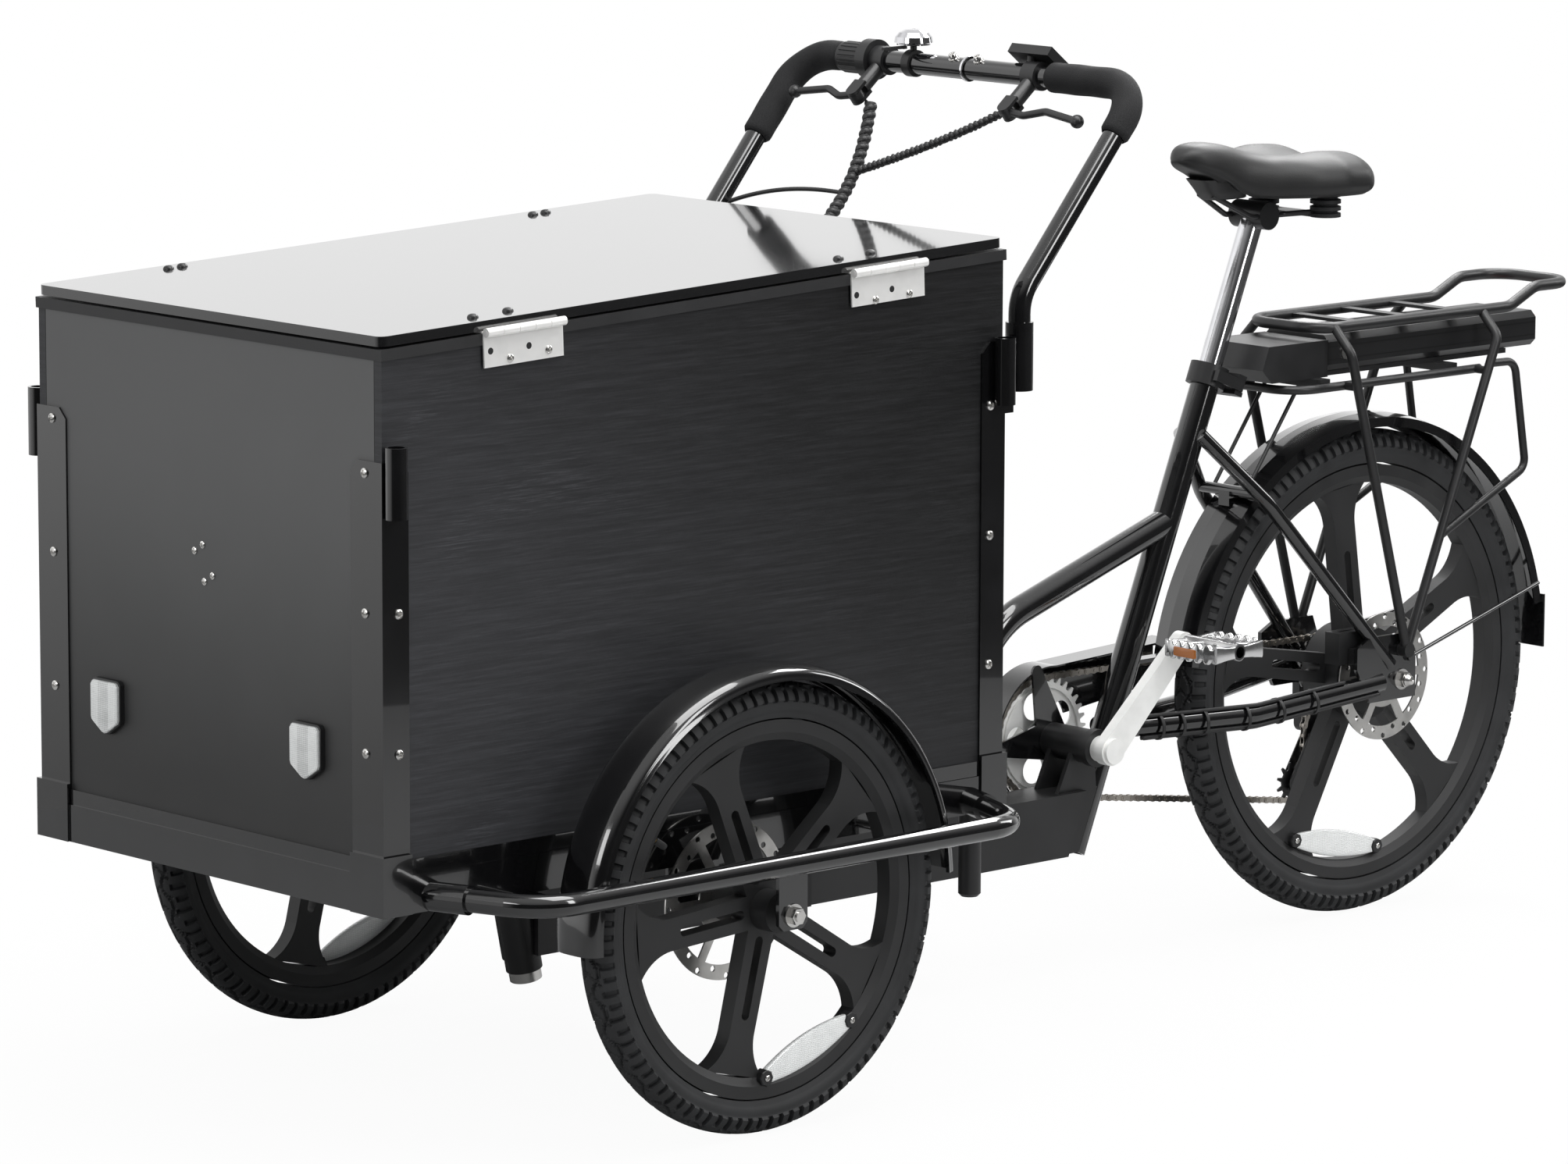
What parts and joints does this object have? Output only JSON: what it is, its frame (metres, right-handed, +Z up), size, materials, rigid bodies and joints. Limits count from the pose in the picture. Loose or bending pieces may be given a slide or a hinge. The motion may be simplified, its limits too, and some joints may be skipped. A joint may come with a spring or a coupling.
{
  "type": "cargo tricycle",
  "caption": "Cargo tricycle: a lidded box on a carriage that steers between the front wheels, with pedals, a rear hub motor, rack battery and disc brakes.",
  "frame": {"origin": "on the ground under the middle of the whole length", "axes": "+X forward, +Y to the rider's left, +Z up"},
  "size_m": [2.1536, 0.889, 1.14],
  "materials": {
    "board": "black-faced plywood, satin",
    "lid_board": "black-faced plywood, glossy",
    "trim": "dark grey plastic",
    "gloss_black": "gloss black paint",
    "satin_black": "satin black paint",
    "cast_black": "matt black cast alloy",
    "steel": "brushed stainless steel",
    "zinc": "bright zinc plate",
    "chrome": "chrome plate",
    "alloy": "polished alloy",
    "tyre": "black tyre rubber",
    "rubber": "black rubber",
    "foam": "black foam",
    "black_plastic": "black plastic",
    "vinyl": "black vinyl",
    "lens": "clear reflector"
  },
  "bodies": {
    "frame": {"main_beam": "satin_black", "seat_tube": "satin_black", "top_tube": "satin_black", "rear_triangle": "satin_black", "seat_collar": "satin_black", "rear_mudguard": "gloss_black", "rack": "satin_black", "battery_dock": "black_plastic", "chain_guard": "gloss_black", "chain": "steel", "derailleur": "satin_black", "rear_caliper": "satin_black", "rear_axle": "zinc"},
    "carriage": {"box_panels": "board", "box_floor": "board", "rim_trim": "trim", "box_hinge_leaves": "steel", "corner_posts": "gloss_black", "carriage_frame": "gloss_black", "steering_stops": "rubber", "kingpin": "zinc", "wheel_guards": "gloss_black", "front_axles": "zinc", "front_mudguards": "gloss_black", "front_reflectors": "lens", "front_calipers": "satin_black", "handlebar": "satin_black", "grips": "foam", "bar_fittings": "black_plastic", "bell": "chrome", "bar_cables": "black_plastic"},
    "lid_body": {"lid": "lid_board", "lid_hinge_leaves": "steel"},
    "front_wheel_l": {"front_wheel_left": "cast_black", "front_tyre_left": "tyre", "front_rotor_left": "steel"},
    "front_wheel_r": {"front_wheel_right": "cast_black", "front_tyre_right": "tyre", "front_rotor_right": "steel"},
    "rear_wheel_body": {"rear_wheel": "cast_black", "rear_tyre": "tyre", "rear_rotor": "steel"},
    "crank": {"crank_arms": "alloy", "chainring": "alloy"},
    "pedal_l": {"pedal_left": "alloy"},
    "pedal_r": {"pedal_right": "alloy"},
    "freewheel_body": {"freewheel": "steel"},
    "guide_wheel": {"guide_pulley": "black_plastic"},
    "tension_wheel": {"tension_pulley": "black_plastic"},
    "saddle": {"seat_post": "chrome", "saddle_cover": "vinyl", "saddle_frame": "satin_black"},
    "seat_lever": {"seat_clamp_lever": "satin_black"},
    "battery_body": {"battery": "black_plastic"},
    "lock": {"battery_lock": "zinc"},
    "lever_l": {"brake_lever_left": "satin_black"},
    "lever_r": {"brake_lever_right": "satin_black"},
    "twist": {"twist_grip": "black_plastic"},
    "hammer": {"bell_hammer": "chrome"}
  },
  "joints": [
    {"name": "steering", "type": "hinge", "parent": "frame", "child": "carriage", "pos_m": [0.63125, 0, 0.178], "axis": [0.2079, 0, 0.9781], "range_deg": [-24, 24]},
    {"name": "lid_hinge", "type": "hinge", "parent": "carriage", "child": "lid_body", "pos_m": [1.06831, 0.3055, 0.8965], "axis": [-0.9992, 0, 0.0397], "range_deg": [0, 105]},
    {"name": "front_wheel_spin_left", "type": "hinge", "parent": "carriage", "child": "front_wheel_l", "pos_m": [0.60425, 0.377, 0.25], "axis": [0, 1, 0], "continuous": true},
    {"name": "front_wheel_spin_right", "type": "hinge", "parent": "carriage", "child": "front_wheel_r", "pos_m": [0.60425, -0.377, 0.25], "axis": [0, 1, 0], "continuous": true},
    {"name": "rear_wheel_spin", "type": "hinge", "parent": "frame", "child": "rear_wheel_body", "pos_m": [-0.73875, 0, 0.305], "axis": [0, 1, 0], "continuous": true},
    {"name": "crank_spin", "type": "hinge", "parent": "frame", "child": "crank", "pos_m": [-0.24775, 0, 0.273], "axis": [0, 1, 0], "continuous": true},
    {"name": "pedal_spin_left", "type": "hinge", "parent": "crank", "child": "pedal_l", "pos_m": [-0.37004, 0.118, 0.39109], "axis": [0, 1, 0], "continuous": true},
    {"name": "pedal_spin_right", "type": "hinge", "parent": "crank", "child": "pedal_r", "pos_m": [-0.12546, -0.139, 0.15491], "axis": [0, 1, 0], "continuous": true},
    {"name": "freewheel_spin", "type": "hinge", "parent": "frame", "child": "freewheel_body", "pos_m": [-0.73875, -0.054, 0.305], "axis": [0, 1, 0], "continuous": true},
    {"name": "guide_pulley_spin", "type": "hinge", "parent": "frame", "child": "guide_wheel", "pos_m": [-0.73375, -0.054, 0.229], "axis": [0, 1, 0], "continuous": true},
    {"name": "tension_pulley_spin", "type": "hinge", "parent": "frame", "child": "tension_wheel", "pos_m": [-0.69075, -0.054, 0.16], "axis": [0, 1, 0], "continuous": true},
    {"name": "seat_height", "type": "slide", "parent": "frame", "child": "saddle", "axis": [-0.3746, 0, 0.9272], "range_m": [-0.06, 0.05]},
    {"name": "seat_clamp", "type": "hinge", "parent": "frame", "child": "seat_lever", "pos_m": [-0.50368, 0.0248, 0.68803], "axis": [-0.3746, 0, 0.9272], "range_deg": [0, 150]},
    {"name": "battery_slide", "type": "slide", "parent": "frame", "child": "battery_body", "axis": [-1, 0, 0], "range_m": [0, 0.38]},
    {"name": "lock_turn", "type": "hinge", "parent": "battery_body", "child": "lock", "pos_m": [-0.66075, 0.054, 0.718], "axis": [0, 1, 0], "range_deg": [0, 90]},
    {"name": "brake_left", "type": "hinge", "parent": "carriage", "child": "lever_l", "pos_m": [-0.02175, 0.112, 1.061], "axis": [0.6369, 0, 0.771], "range_deg": [0, 14], "stiffness_Nm_per_rad": 1.5, "springref_deg": -8.59},
    {"name": "brake_right", "type": "hinge", "parent": "carriage", "child": "lever_r", "pos_m": [-0.02175, -0.145, 1.061], "axis": [-0.6369, 0, -0.771], "range_deg": [0, 14], "stiffness_Nm_per_rad": 1.5, "springref_deg": -8.59},
    {"name": "shift_twist", "type": "hinge", "parent": "carriage", "child": "twist", "pos_m": [-0.06775, -0.19, 1.099], "axis": [0, 1, 0], "range_deg": [0, 90]},
    {"name": "bell_strike", "type": "hinge", "parent": "carriage", "child": "hammer", "pos_m": [-0.05175, -0.095, 1.1188], "axis": [0, 0, 1], "range_deg": [0, 30], "stiffness_Nm_per_rad": 0.02, "springref_deg": -11.46}
  ],
  "couplings": [
    {"joint": "freewheel_spin", "follows": "crank_spin", "ratio": 2},
    {"joint": "guide_pulley_spin", "follows": "crank_spin", "ratio": -3.2727},
    {"joint": "tension_pulley_spin", "follows": "crank_spin", "ratio": 3.2727}
  ]
}
